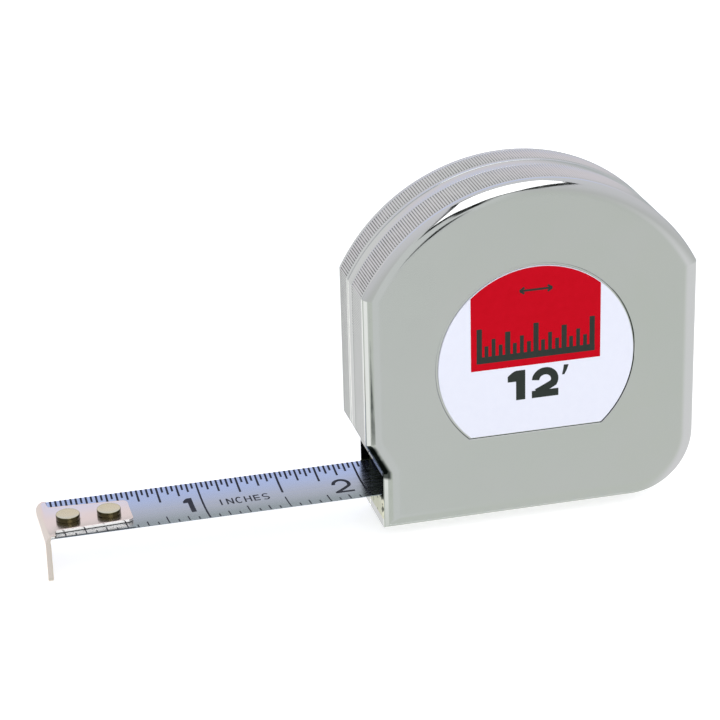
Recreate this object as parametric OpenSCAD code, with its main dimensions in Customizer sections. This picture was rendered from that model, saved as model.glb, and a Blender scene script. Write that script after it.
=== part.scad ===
// Pocket tape measure: 12 ft push-pull tape rule with a half-inch blade.
// Units mm. X runs along the blade (it leaves toward -X), Y is the thickness
// (the labelled front face is at -Y), Z is up. The origin is the centre of the
// flat base, between the mouth wall and the rear side, on the case's mid plane.

/* [Case] */
// Flat base, from the mouth wall to the rear side (2 in)
base_length = 50.8; // [50.6:0.1:51.6]
// Thickness from face to face
case_thickness = 16.2; // [16.2:0.1:17]
// How far the left flat stands ahead of the mouth wall
nose_overhang = 2.6; // [2.4:0.05:2.8]
// Height of the lower end of the left flat
nose_bottom = 14.45; // [14.25:0.05:14.45]
// Height where the slanted mouth roof meets the mouth wall
roof_bottom = 9.5; // [9.3:0.1:9.7]
// Place of the reel's centre along the base
hub_x = -1.3; // [-1.6:0.1:-1]
// Height of the reel's centre
hub_z = 25; // [25:0.1:25.4]
// Radius of the round top, about the reel's centre
top_radius = 30; // [29.6:0.1:30.6]
// Radius of the lower rear corner
corner_radius = 10.2; // [10:0.1:10.6]
// Wall of the shells
wall = 0.9; // [0.85:0.05:0.95]
// Rounding of the edges of both faces
edge_round = 1.0; // [0.9:0.05:1.1]
// Parting plane of the two shells, nearer to the rear face
seam_y = 1.5; // [1:0.1:2]
// Depth of the groove along the parting line
seam_groove = 0.2; // [0.1:0.05:0.3]

/* [Label] */
// Centre of the label along the base
label_x = -0.9; // [-1.2:0.1:-0.6]
// Height of the label's centre
label_z = 25.6; // [25.2:0.1:26]
// Radius of the recess that the label sits in
label_radius = 16.05; // [15:0.05:17]
// Height of the recess's lower straight edge
label_flat_z = 13.65; // [13:0.05:14.5]
// Gap between the label and the recess
label_gap = 0.35; // [0.2:0.05:0.5]
// Depth of the recess
label_depth = 0.3; // [0.25:0.05:0.4]

/* [Reel] */
// Radius of the fixed post
post_radius = 2.0; // [1.9:0.05:2]
// Radial running gap between the post and the bush
running_gap = 0.03; // [0.02:0.01:0.05]
// Radius that the blade is wound on
bobbin_radius = 12.8; // [12.6:0.1:13.2]
// Outer radius of the wound blade
coil_radius = 19.2; // [18.8:0.1:19.2]
// Radius of the two flanges
flange_radius = 20.2; // [19.8:0.1:20.2]
// Thickness of the two flanges
flange_thickness = 0.35; // [0.3:0.05:0.35]

/* [Blade] */
// Width of the blade (1/2 in)
blade_width = 12.7; // [12.5:0.1:12.8]
// Thickness of the blade
blade_thickness = 0.15; // [0.12:0.01:0.15]
// Cross curve of the blade's top surface
blade_cup_radius = 31.3; // [30:0.1:36]
// Height of the blade's top surface on its centre line
blade_z = 4.85; // [4.8:0.05:4.9]
// Blade showing at rest, from its zero mark to the mouth wall
exposed = 52.45; // [50:0.05:60]
// Length of the straight rigid end of the blade
tip_length = 47.6; // [46:0.1:48]

/* [Hook] */
// Thickness of the hook's leg
hook_thickness = 0.8; // [0.75:0.05:0.85]
// Thickness of the hook's plate
plate_thickness = 0.75; // [0.7:0.05:0.8]
// Length of the plate along the blade
plate_length = 14; // [13:0.1:15]
// Width of the plate beside the leg
plate_width = 8.3; // [8:0.1:9]
// Width of the plate at its far end
plate_end_width = 6.7; // [6:0.1:7.5]
// Width of the leg
leg_width = 12; // [11:0.1:12.7]
// Height of the leg's lower end, below the base
leg_bottom = -2.2; // [-3:0.1:-1.5]
// Distance between the two rivets (1/4 in)
rivet_pitch = 6.35; // [6:0.05:7]
// Radius of the rivet heads
rivet_radius = 1.85; // [1.6:0.05:2]

/* [Hidden] */
$fn = 96;
eps = 0.01;
far = 40;                       // past the case on every side
half_t = case_thickness / 2;
inner_t = half_t - wall;
mouth_x = -base_length / 2;
rear_x = base_length / 2;
nose_x = mouth_x - nose_overhang;
corner_x = rear_x - corner_radius;
roof_angle = -atan(nose_overhang / (nose_bottom - roof_bottom));

boss_radius = 2.2;
screw_hole = 1.02;
bosses = [[hub_x - 12.6, 46.8], [hub_x + 12.6, 46.8], [-22.4, 11.4], [17, 8.6]];
post_screw_hole = 1.3;
block_half_width = 10.4;
block_bottom = 25;

throat_half_width = 7.18;
throat_bottom = 1.6;
throat_top = 8.9;
throat_x0 = mouth_x - 0.15;
throat_x1 = mouth_x + 4.4;
slot_half_width = 6.9;
slot_bottom = 3.8;
slot_top = 8.4;
throat_frame_x = mouth_x + 1.5;

flange_y = 6.5;
flange_outer_y = flange_y + flange_thickness;
bush_radius = 3.2;
bush_half_length = 6.84;
reel_rivet_ring = 8.2;
reel_rivet_radius = 0.7;
anchor_y = 3.4;
anchor_radius = 0.8;

zero_x = mouth_x - exposed;
blade_axis_z = blade_z + blade_cup_radius;
tip_start = zero_x + hook_thickness + 0.05;
tip_end = tip_start + tip_length;
run_bend_x = -12;
run_rise = 4.2;                 // degrees, up toward the coil
plate_r = blade_cup_radius - 0.02;
rivet_x1 = zero_x + 4.3;
rivet_x2 = rivet_x1 + rivet_pitch;
shank_radius = 0.95;
burr_z = 4.32;
burr_thickness = 0.36;

module along_y(y0, y1) {
    // extrudes a drawing in X and Z from y0 to y1
    translate([0, y1, 0]) rotate([90, 0, 0]) linear_extrude(y1 - y0) children();
}

module along_x(x0, x1) {
    // extrudes a drawing in Y and Z from x0 to x1
    translate([x0, 0, 0]) rotate([90, 0, 90]) linear_extrude(x1 - x0) children();
}

module y_cyl(x, z, r, y0, y1) {
    translate([x, y1, z]) rotate([90, 0, 0]) cylinder(r = r, h = y1 - y0);
}

module hub_cyl(r, y0, y1) y_cyl(hub_x, hub_z, r, y0, y1);

module ring(r_in, r_out, y0, y1) {
    difference() {
        hub_cyl(r_out, y0, y1);
        hub_cyl(r_in, y0 - 1, y1 + 1);
    }
}

module around_hub(radius, angles) {
    // copies its children on a circle round the reel's axis
    for (a = angles) translate([hub_x, 0, hub_z]) rotate([0, a, 0]) translate([radius, 0, 0])
        children();
}

module box(x0, x1, y0, y1, z0, z1) {
    translate([x0, y0, z0]) cube([x1 - x0, y1 - y0, z1 - z0]);
}

// ---- case ----

module outline(d) {
    // side outline of the case, moved inward by d; k keeps the slanted roof parallel
    k = 0.245 * d;
    intersection() {
        translate([hub_x, hub_z]) circle(r = top_radius - d, $fn = 180);
        translate([nose_x + d, hub_z]) square([rear_x - nose_x - 2 * d, top_radius]);
    }
    polygon([[nose_x + d, hub_z + eps], [nose_x + d, nose_bottom + k],
        [mouth_x + d, roof_bottom + k], [mouth_x + d, d], [corner_x, d],
        [corner_x, corner_radius], [rear_x - d, corner_radius], [rear_x - d, hub_z + eps]]);
    translate([corner_x, corner_radius]) circle(r = corner_radius - d);
}

module slab_section(length) {
    // section of a slab: its side stands at 0 with both edges rounded
    r = edge_round;
    translate([0, -half_t + r]) square([length, case_thickness - 2 * r]);
    translate([r, -half_t]) square([length - r, case_thickness]);
    for (s = [-1, 1]) translate([r, s * (half_t - r)]) circle(r = r, $fn = 48);
}

module slab(x, z, angle) {
    // half space inside a straight side through (x, z), edges rounded
    translate([x, 0, z]) rotate([0, angle, 0])
        translate([0, 0, -70]) linear_extrude(140) slab_section(80);
}

module rounded_disc(x, z, radius) {
    r = edge_round;
    translate([x, 0, z]) rotate([90, 0, 0]) rotate_extrude($fn = 180) {
        translate([0, -half_t]) square([radius - r, case_thickness]);
        translate([0, -half_t + r]) square([radius, case_thickness - 2 * r]);
        for (s = [-1, 1]) translate([radius - r, s * (half_t - r)]) circle(r = r, $fn = 48);
    }
}

module case_body() {
    // round top, straight flanks with the slanted roof, base, lower rear corner
    union() {
        intersection() {
            rounded_disc(hub_x, hub_z, top_radius);
            slab(nose_x, 0, 0);
            slab(rear_x, 0, 180);
            box(-far, far, -far, far, hub_z, 60);
        }
        intersection() {
            slab(nose_x, 0, 0);
            slab(rear_x, 0, 180);
            slab(mouth_x, roof_bottom, roof_angle);
            box(-far, far, -far, far, corner_radius, hub_z);
        }
        intersection() {
            slab(mouth_x, 0, 0);
            slab(0, 0, -90);
            box(-far, corner_x, -far, far, -1, corner_radius);
        }
        intersection() {
            rounded_disc(corner_x, corner_radius, corner_radius);
            box(corner_x, far, -far, far, -1, corner_radius);
        }
    }
}

module case_shell(y0, y1) {
    // the slice of the hollow case between y0 and y1, with its screw bosses
    difference() {
        intersection() {
            case_body();
            box(-far, far, y0, y1, -5, 60);
        }
        along_y(max(y0 - 1, -inner_t), min(y1 + 1, inner_t)) outline(wall);
        box(mouth_x - 1, mouth_x + wall + 1, -throat_half_width - 0.02, throat_half_width + 0.02,
            throat_bottom - 0.02, throat_top + 0.02);
    }
    for (b = bosses)
        y_cyl(b[0], b[1], boss_radius, max(y0, -inner_t - 0.1), min(y1, inner_t + 0.1));
}

module seam_cut(y0, y1) {
    along_y(y0, y1) difference() {
        translate([-far, -5]) square([2 * far, 65]);
        outline(seam_groove);
    }
}

module label_outline(dx, dz, gap) {
    intersection() {
        translate([label_x + dx, label_z + dz]) circle(r = label_radius - gap, $fn = 180);
        translate([-30, label_flat_z + gap + dz]) square([60, 40]);
    }
}

module front_case() {
    color([0.78, 0.79, 0.78]) difference() {
        case_shell(-half_t - 1, seam_y);
        seam_cut(seam_y - 0.15, seam_y + 1);
        along_y(-half_t - 1, -half_t + label_depth) label_outline(0, 0, 0);
        for (b = bosses) y_cyl(b[0], b[1], screw_hole, -6, seam_y + 1);
        hub_cyl(1.51, -half_t - 1, -inner_t + 1);
    }
}

module rear_case() {
    color([0.76, 0.77, 0.77]) difference() {
        case_shell(seam_y, half_t + 1);
        seam_cut(seam_y - 1, seam_y + 0.15);
        for (b = bosses) {
            y_cyl(b[0], b[1], screw_hole, seam_y - 1, half_t + 1);
            translate([b[0], half_t - 0.95, b[1]]) rotate([-90, 0, 0])
                cylinder(r1 = screw_hole, r2 = screw_hole + 1, h = 1);
        }
        hub_cyl(post_screw_hole, inner_t - 1, half_t + 1);
    }
}

module front_label() {
    // sits a little to the rear and low in its recess
    color([0.93, 0.94, 0.96])
        along_y(-half_t + 0.05, -half_t + label_depth) label_outline(0.12, -0.1, label_gap);
}

module label_block() {
    color([0.76, 0.02, 0.09]) along_y(-half_t, -half_t + 0.05) intersection() {
        label_outline(0.12, -0.1, label_gap + 0.1);
        translate([label_x - block_half_width, block_bottom]) square([2 * block_half_width, 20]);
    }
}

module throat_insert() {
    // a sill under the blade at the mouth, and a frame round the blade behind the wall
    color([0.82, 0.83, 0.72]) difference() {
        union() {
            box(throat_x0, throat_x1, -throat_half_width, throat_half_width,
                throat_bottom, slot_bottom);
            box(throat_frame_x, throat_x1, -throat_half_width, throat_half_width,
                throat_bottom, throat_top);
        }
        box(throat_frame_x - 1, throat_x1 + 1, -slot_half_width, slot_half_width,
            slot_bottom, slot_top);
        translate([throat_frame_x, 0, slot_top]) rotate([0, 45, 0])
            cube([0.5, 2 * slot_half_width, 0.5], center = true);
    }
}

// ---- fixings ----

module centre_post() {
    color([0.62, 0.63, 0.64]) difference() {
        union() {
            hub_cyl(post_radius, -inner_t, inner_t);
            hub_cyl(1.5, -half_t + label_depth + 0.02, -inner_t + 0.1);
        }
        hub_cyl(1.22, -4, inner_t + 1);
    }
}

module centre_screw() {
    color([0.70, 0.71, 0.72]) difference() {
        union() {
            hub_cyl(4.2, half_t + 0.01, half_t + 0.6);
            hub_cyl(3.6, half_t + 0.6, half_t + 0.9);
            hub_cyl(1.2, -3.5, half_t + 0.1);
        }
        box(hub_x - 6, hub_x + 6, half_t + 0.35, half_t + 2, hub_z - 0.5, hub_z + 0.5);
    }
}

module case_screw(b, turn) {
    color([0.66, 0.67, 0.68]) translate([b[0], 0, b[1]]) difference() {
        union() {
            y_cyl(0, 0, 1.0, -5.5, half_t - 0.8);
            translate([0, half_t - 0.95, 0]) rotate([-90, 0, 0])
                cylinder(r1 = 1.0, r2 = 1.9, h = 0.9);
        }
        rotate([0, turn, 0]) box(-3, 3, half_t - 0.4, half_t + 1, -0.22, 0.22);
    }
}

module screw_top_left() case_screw(bosses[0], 20);
module screw_top_right() case_screw(bosses[1], -35);
module screw_low_left() case_screw(bosses[2], 65);
module screw_low_right() case_screw(bosses[3], 5);

module wave_washer() {
    // flat ring with three pads on each side in place of its waves
    color([0.55, 0.56, 0.58]) {
        ring(2.1, 4.4, -inner_t + 0.1, -flange_outer_y - 0.1);
        around_hub(3.4, [0, 120, 240]) y_cyl(0, 0, 0.7, -inner_t + eps, -inner_t + 0.11);
        around_hub(3.4, [60, 180, 300])
            y_cyl(0, 0, 0.7, -flange_outer_y - 0.11, -flange_outer_y - 0.02);
    }
}

module thrust_washer() {
    color([0.85, 0.83, 0.76]) ring(2.1, 4.6, flange_outer_y + 0.02, inner_t - eps);
}

// ---- reel ----

module bobbin() {
    half_length = flange_y - eps;
    color([0.20, 0.21, 0.22]) difference() {
        union() {
            ring(bobbin_radius - 1.1, bobbin_radius, -half_length, half_length);
            ring(bush_radius + eps, bush_radius + 1.6, -half_length, half_length);
            ring(bush_radius + eps, bobbin_radius - 0.8, -0.8, 0.8);
            around_hub(reel_rivet_ring, [30, 150, 270]) y_cyl(0, 0, 1.5, -half_length, half_length);
        }
        around_hub(reel_rivet_ring, [30, 150, 270]) y_cyl(0, 0, reel_rivet_radius + 0.02, -8, 8);
        around_hub(reel_rivet_ring, [90, 210, 330]) y_cyl(0, 0, 2.2, -2, 2);
        translate([hub_x, anchor_y, hub_z + 8]) cylinder(r = anchor_radius + 0.02, h = 8);
    }
}

module bobbin_bush() {
    color([0.75, 0.60, 0.28])
        ring(post_radius + running_gap, bush_radius, -bush_half_length, bush_half_length);
}

module flange_at(y0, y1) {
    difference() {
        ring(bush_radius + 0.02, flange_radius, y0, y1);
        around_hub(reel_rivet_ring, [30, 150, 270]) y_cyl(0, 0, reel_rivet_radius + 0.02, -8, 8);
        around_hub(15.6, [0:60:300]) y_cyl(0, 0, 1.6, -8, 8);
    }
}

module front_flange() color([0.30, 0.31, 0.33]) flange_at(-flange_outer_y, -flange_y);
module rear_flange() color([0.30, 0.31, 0.33]) flange_at(flange_y, flange_outer_y);

module flange_rivets() {
    head_y = flange_outer_y + 0.13;
    color([0.72, 0.58, 0.30]) around_hub(reel_rivet_ring, [30, 150, 270]) {
        y_cyl(0, 0, reel_rivet_radius, -6.9, 6.9);
        for (s = [-1, 1]) y_cyl(0, 0, 1.1, s * head_y - 0.12, s * head_y + 0.12);
    }
}

module blade_anchor() {
    color([0.72, 0.58, 0.30]) translate([hub_x, anchor_y, hub_z]) {
        translate([0, 0, bobbin_radius - 1.6]) cylinder(r = anchor_radius, h = 1.55);
        translate([0, 0, bobbin_radius - 1.9]) cylinder(r = anchor_radius + 0.5, h = 0.6);
    }
}

module blade_coil() {
    color([0.66, 0.68, 0.72])
        ring(bobbin_radius + 0.02, coil_radius, -blade_width / 2, blade_width / 2);
}

// ---- blade ----

module cup(r_outer, r_inner, width) {
    // cross section in Y and Z, concave side up
    intersection() {
        translate([0, blade_axis_z]) difference() {
            circle(r = r_outer, $fn = 360);
            circle(r = r_inner, $fn = 360);
        }
        translate([-width / 2, 0]) square([width, 9]);
    }
}

module blade_section() cup(blade_cup_radius + blade_thickness, blade_cup_radius, blade_width);

module blade_run() {
    // straight as far as run_bend_x, then flat and rising to the coil
    color([0.70, 0.72, 0.76]) {
        along_x(tip_end, run_bend_x) blade_section();
        translate([run_bend_x - 0.2, 0, blade_z + 0.05]) rotate([0, -run_rise, 0])
            translate([0, -blade_width / 2, 0]) cube([10.2, blade_width, blade_thickness]);
    }
}

module blade_tip() {
    color([0.70, 0.72, 0.78]) difference() {
        along_x(tip_start, tip_end) blade_section();
        for (x = [rivet_x1, rivet_x2]) translate([x, 0, 0])
            cylinder(r = shank_radius + 0.02, h = 9);
    }
}

// ---- hook ----

module float_slot(x) {
    // the slot that lets the hook slide by its own thickness on a rivet
    r = shank_radius + 0.05;
    translate([x, 0, 0]) cylinder(r = r, h = 9);
    translate([x + hook_thickness, 0, 0]) cylinder(r = r, h = 9);
    box(x, x + hook_thickness, -r, r, 0, 9);
}

module tongue_outline() {
    // the plate from above: it narrows away from the leg, with cut corners
    root = plate_width / 2;
    tip = plate_end_width / 2;
    start = zero_x + 0.4;
    end = zero_x + plate_length;
    polygon([
        [start, -root], [end - 0.7, -tip], [end, -tip + 0.7],
        [end, tip - 0.7], [end - 0.7, tip], [start, root]
    ]);
}

module hook_plate() {
    difference() {
        intersection() {
            along_x(zero_x + 0.4, zero_x + plate_length)
                cup(plate_r, plate_r - plate_thickness, plate_width);
            linear_extrude(height = 9) tongue_outline();
        }
        for (x = [rivet_x1, rivet_x2]) float_slot(x);
    }
}

module hook_leg() {
    corner = 1;
    along_x(zero_x, zero_x + hook_thickness) difference() {
        union() {
            translate([-leg_width / 2, leg_bottom + corner]) square([leg_width, 8]);
            translate([-leg_width / 2 + corner, leg_bottom]) square([leg_width - 2 * corner, 2]);
            for (s = [-1, 1]) translate([s * (leg_width / 2 - corner), leg_bottom + corner])
                circle(r = corner);
        }
        translate([0, blade_axis_z]) circle(r = plate_r - plate_thickness, $fn = 360);
    }
}

module end_hook() {
    color([0.80, 0.76, 0.74]) {
        hook_plate();
        hook_leg();
    }
}

module rivet_at(x) {
    head_z = blade_z + plate_thickness + 0.1;
    color([0.72, 0.66, 0.55]) translate([x, 0, 0]) {
        translate([0, 0, 4.0]) cylinder(r = 1.3, h = 0.3);
        translate([0, 0, 4.2]) cylinder(r = shank_radius, h = 1.6);
        translate([0, 0, head_z]) cylinder(r = rivet_radius, h = 0.45);
        translate([0, 0, head_z + 0.45]) cylinder(r1 = rivet_radius, r2 = rivet_radius - 0.2, h = 0.15);
    }
}

module burr_at(x) {
    color([0.74, 0.72, 0.68]) translate([x, 0, burr_z]) difference() {
        cylinder(r = 1.6, h = burr_thickness);
        translate([0, 0, -1]) cylinder(r = shank_radius + 0.02, h = 3);
    }
}

module rivet_outer() rivet_at(rivet_x1);
module rivet_inner() rivet_at(rivet_x2);
module burr_outer() burr_at(rivet_x1);
module burr_inner() burr_at(rivet_x2);

front_case();
rear_case();
front_label();
label_block();
throat_insert();
centre_post();
centre_screw();
screw_top_left();
screw_top_right();
screw_low_left();
screw_low_right();
wave_washer();
thrust_washer();
bobbin();
bobbin_bush();
front_flange();
rear_flange();
flange_rivets();
blade_anchor();
blade_coil();
blade_run();
blade_tip();
end_hook();
rivet_outer();
rivet_inner();
burr_outer();
burr_inner();
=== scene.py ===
"""Looks of a pocket tape measure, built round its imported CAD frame.

Lengths in the code are millimetres in the part's own frame (blade along -X, label
face at -Y, Z up) and are turned into metres when a mesh is made.
"""
import math

import bmesh
import bpy
import numpy as np
from mathutils import Matrix, Vector


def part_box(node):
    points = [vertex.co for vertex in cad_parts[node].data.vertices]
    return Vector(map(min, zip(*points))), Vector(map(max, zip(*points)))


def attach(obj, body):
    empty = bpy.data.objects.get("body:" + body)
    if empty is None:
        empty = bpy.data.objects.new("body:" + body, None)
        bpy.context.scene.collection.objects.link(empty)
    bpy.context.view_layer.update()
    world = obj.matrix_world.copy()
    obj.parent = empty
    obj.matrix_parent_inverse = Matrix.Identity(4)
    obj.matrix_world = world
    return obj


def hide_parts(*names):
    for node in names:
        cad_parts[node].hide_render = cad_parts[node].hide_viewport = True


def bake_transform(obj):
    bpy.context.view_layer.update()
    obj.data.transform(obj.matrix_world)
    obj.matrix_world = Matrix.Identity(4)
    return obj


MM = 0.001


def box_mm(node):
    """Lowest and highest corner of a CAD node, in millimetres."""
    low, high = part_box(node)
    return np.array(low) / MM, np.array(high) / MM


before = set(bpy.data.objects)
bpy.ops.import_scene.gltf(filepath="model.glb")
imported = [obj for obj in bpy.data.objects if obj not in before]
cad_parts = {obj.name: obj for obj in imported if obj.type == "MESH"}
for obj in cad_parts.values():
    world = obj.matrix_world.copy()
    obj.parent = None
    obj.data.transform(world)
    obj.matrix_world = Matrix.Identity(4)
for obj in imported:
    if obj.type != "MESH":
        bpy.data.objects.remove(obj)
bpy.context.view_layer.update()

# ---- sizes taken from the frame ----

case_low, case_high = box_mm("front_case")
rear_low, rear_high = box_mm("rear_case")
coil_low, coil_high = box_mm("blade_coil")
throat_low, throat_high = box_mm("throat_insert")
label_low, label_high = box_mm("front_label")
panel_low, panel_high = box_mm("label_block")
tip_low, tip_high = box_mm("blade_tip")
hook_low, hook_high = box_mm("end_hook")

NOSE_X, REAR_X = case_low[0], case_high[0]
HALF_T = rear_high[1]
TOP_Z = case_high[2]
HUB_X = (coil_low[0] + coil_high[0]) / 2
HUB_Z = (coil_low[2] + coil_high[2]) / 2
TOP_R = TOP_Z - HUB_Z
MOUTH_X = throat_low[0] + 0.15
SEAM_Y = rear_low[1]

# ---- sizes of the case ----

WALL = 0.9
SILL_TOP = 5.2           # the throat's sill ends here, and its frame begins
NOSE_BOTTOM = 14.45
ROOF_BOTTOM = 9.5
CORNER_R = 10.2
CORNER_X = REAR_X - CORNER_R
SHOULDER_IN = 2.6        # how far the edge rounding reaches into the face
SHOULDER_Y = 1.2         # and how far it reaches across the rim
REED_PITCH = 0.44
REED_DEPTH = 0.13
REED_STEPS = 8           # columns across one flute
FRONT_REEDS = (-6.7, -0.8)
REAR_REEDS = (2.35, 6.5)
REED_END = 0.13          # run-out at both ends of a flute
ROOF_LIFT = 0.2467       # rise of the roof's ends for 1 mm of inset, to keep it parallel

LABEL_X = (label_low[0] + label_high[0]) / 2 - 0.12
LABEL_GAP = 0.35
LABEL_R = (label_high[0] - label_low[0]) / 2 + LABEL_GAP
LABEL_Z = label_high[2] + LABEL_GAP - LABEL_R + 0.1
LABEL_FLAT = label_low[2] - LABEL_GAP + 0.1
RECESS = 0.3             # depth of the label's recess
NUMBER_FOOT = 19.35
NUMBER_HEIGHT = 4.95
ARROW_Z = 37.4

# ---- sizes of the blade ----

BLADE_W = tip_high[1] - tip_low[1]
CUP_R = 31.3
BLADE_T = 0.15
BLADE_Z = 4.85           # top surface on the centre line
AXIS_Z = BLADE_Z + CUP_R
ZERO_X = hook_low[0]     # the zero mark is the outer face of the hook's leg
INCH = 25.4
TURN_PITCH = 0.178       # from one turn of the coil to the next
BEND_START = tip_high[0]         # from here the blade's stations lie closer together
BEND_LENGTH = 12.0
BEND_END = BEND_START + BEND_LENGTH
FLATTEN_X = -12.0        # from here to the coil the cross curve flattens
COIL_X = -2.6
COIL_CLIMB = 0.69        # and the blade rises by this much

# ---- sizes of the hook ----

SHEET_T = 0.45           # the hook's plate, which stands a little off the blade
PLATE_TOP = BLADE_Z + 0.52
LEG_T = 0.8
ROOT_W = 8.3             # width of the plate beside the leg
TONGUE_W = 6.7           # and at its far end
LEG_W = hook_high[1] - hook_low[1]
PLATE_END = hook_high[0]
BEND_R = 1.1             # outside radius of the hook's bend


# ======================= mesh helpers =======================


def new_object(name, verts, faces, materials, sharp=35.0):
    """A mesh object from points in millimetres, with smooth shading up to an angle."""
    mesh = bpy.data.meshes.new(name)
    mesh.from_pydata((np.asarray(verts, float) * MM).tolist(), [], faces)
    mesh.validate()
    mesh.update()
    obj = bpy.data.objects.new(name, mesh)
    bpy.context.scene.collection.objects.link(obj)
    for material in materials:
        mesh.materials.append(material)
    smooth(obj, sharp)
    return obj


def smooth(obj, sharp):
    mesh = obj.data
    mesh.polygons.foreach_set("use_smooth", [True] * len(mesh.polygons))
    mesh.set_sharp_from_angle(angle=math.radians(sharp))


def outward(obj):
    """Turns every face of a closed mesh outward."""
    work = bmesh.new()
    work.from_mesh(obj.data)
    bmesh.ops.remove_doubles(work, verts=work.verts, dist=2e-6)
    bmesh.ops.recalc_face_normals(work, faces=work.faces)
    work.to_mesh(obj.data)
    work.free()


def rings_to_solid(rings, first_cap, last_cap):
    """Points and faces of a closed skin through rings of equal length.

    A cap is a single point that the end ring is fanned to.
    """
    count = len(rings[0])
    verts = np.concatenate([*rings, [first_cap], [last_cap]])
    index = np.arange(len(rings) * count).reshape(len(rings), count)
    nxt = np.roll(index, -1, axis=1)
    quads = np.stack([index[:-1], nxt[:-1], nxt[1:], index[1:]], axis=-1).reshape(-1, 4)
    first, last = len(verts) - 2, len(verts) - 1
    faces = quads.tolist()
    faces += [[first, b, a] for a, b in zip(index[0].tolist(), nxt[0].tolist())]
    faces += [[last, a, b] for a, b in zip(index[-1].tolist(), nxt[-1].tolist())]
    return verts, faces


def tube_of_sections(sections):
    """Points and faces of a solid through closed sections, with flat end caps."""
    count = len(sections[0])
    verts = np.concatenate(sections)
    index = np.arange(len(sections) * count).reshape(len(sections), count)
    nxt = np.roll(index, -1, axis=1)
    quads = np.stack([index[:-1], nxt[:-1], nxt[1:], index[1:]], axis=-1).reshape(-1, 4)
    faces = quads.tolist() + [index[0][::-1].tolist(), index[-1].tolist()]
    return verts, faces


def apply_modifiers(obj):
    graph = bpy.context.evaluated_depsgraph_get()
    graph.update()
    mesh = bpy.data.meshes.new_from_object(obj.evaluated_get(graph))
    old = obj.data
    obj.modifiers.clear()
    obj.data = mesh
    mesh.name = obj.name
    bpy.data.meshes.remove(old)


def cut(obj, cutters, sharp=35.0):
    """Cuts closed meshes out of obj and removes the cutters."""
    for cutter in cutters:
        outward(cutter)
        modifier = obj.modifiers.new("cut", "BOOLEAN")
        modifier.operation = "DIFFERENCE"
        modifier.solver = "EXACT"
        modifier.object = cutter
    apply_modifiers(obj)
    for cutter in cutters:
        bpy.data.objects.remove(cutter)
    smooth(obj, sharp)


def bevel(obj, width, segments=2, angle=40.0):
    modifier = obj.modifiers.new("bevel", "BEVEL")
    modifier.width = width * MM
    modifier.segments = segments
    modifier.limit_method = "ANGLE"
    modifier.angle_limit = math.radians(angle)
    apply_modifiers(obj)
    smooth(obj, 40.0)


def solid(name, verts, faces, materials, sharp=35.0):
    """A closed mesh object whose faces all look outward."""
    obj = new_object(name, verts, faces, materials, sharp)
    outward(obj)
    smooth(obj, sharp)
    return obj


def lathe(name, along, centre, profile, materials, steps=64):
    """A turned piece about a line along Y (1) or Z (2); profile is (radius, place on it)."""
    angles = np.linspace(0, 2 * math.pi, steps, endpoint=False)
    circle = np.stack([np.cos(angles), np.sin(angles)], 1)
    rings = [np.insert(centre + r * circle, along, place, axis=1) for r, place in profile]
    caps = [np.insert(np.array(centre, float), along, profile[k][1]) for k in (0, -1)]
    return solid(name, *rings_to_solid(rings, *caps), materials)


def block(name, low, high, materials):
    xs, ys, zs = zip(low, high)
    verts = [(x, y, z) for x in xs for y in ys for z in zs]
    faces = [(0, 1, 3, 2), (4, 6, 7, 5), (0, 4, 5, 1), (2, 3, 7, 6), (0, 2, 6, 4), (1, 5, 7, 3)]
    return new_object(name, verts, faces, materials)


# ======================= materials =======================


def material(name):
    """A new node material, with its node tree."""
    made = bpy.data.materials.new(name)
    made.use_nodes = True
    return made, made.node_tree


def node(tree, kind, **properties):
    made = tree.nodes.new(kind)
    for key, value in properties.items():
        setattr(made, key, value)
    return made


def feed(tree, socket, value):
    """Sets a number or a colour on a socket, or links a node's output to it."""
    if isinstance(value, (int, float)):
        socket.default_value = value
    elif isinstance(value, tuple):
        socket.default_value = (*value, 1)
    else:
        tree.links.new(value, socket)


def shader_of(tree):
    return next(n for n in tree.nodes if n.type == "BSDF_PRINCIPLED")


def paint(tree, **inputs):
    """Feeds inputs of the shader; an underscore in a key stands for a space."""
    for key, value in inputs.items():
        feed(tree, shader_of(tree).inputs[key.replace("_", " ")], value)


def calc(tree, operation, first, *others):
    """A math node on one value, or a chain of them that takes in each further value."""
    out = first
    for pair in [(value,) for value in others] or [()]:
        made = node(tree, "ShaderNodeMath", operation=operation)
        for socket, value in zip(made.inputs, (out, *pair)):
            feed(tree, socket, value)
        out = made.outputs[0]
    return out


def mixed(tree, factor, first, second, data_type="RGBA", **properties):
    """A mix of two colours or numbers, each fixed or a node's output."""
    made = node(tree, "ShaderNodeMix", data_type=data_type, **properties)
    for key, value in (("Factor", factor), ("A", first), ("B", second)):
        feed(tree, made.inputs[key], value)
    return made.outputs["Result"]


def spread(tree, value, low, high, out_low, out_high):
    """Maps a value from one range to another, smoothly and clamped."""
    made = node(tree, "ShaderNodeMapRange", interpolation_type="SMOOTHSTEP")
    limits = {"From Min": low, "From Max": high, "To Min": out_low, "To Max": out_high}
    for key, number in limits.items():
        made.inputs[key].default_value = number
    tree.links.new(value, made.inputs["Value"])
    return made.outputs["Result"]


def noise(tree, scale, detail=3.0, roughness=0.55, grain=(1, 1, 1)):
    """Noise over the object coordinates, scaled per axis by grain."""
    where = node(tree, "ShaderNodeTexCoord")
    mapping = node(tree, "ShaderNodeMapping")
    mapping.inputs["Scale"].default_value = grain
    tree.links.new(where.outputs["Object"], mapping.inputs["Vector"])
    made = node(tree, "ShaderNodeTexNoise")
    tree.links.new(mapping.outputs["Vector"], made.inputs["Vector"])
    for key, number in (("Scale", scale), ("Detail", detail), ("Roughness", roughness)):
        made.inputs[key].default_value = number
    return made.outputs["Fac"]


def uneven(tree, scale, low, high, *details):
    """Noise spread between two values."""
    return spread(tree, noise(tree, scale, *details), 0.3, 0.7, low, high)


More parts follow.
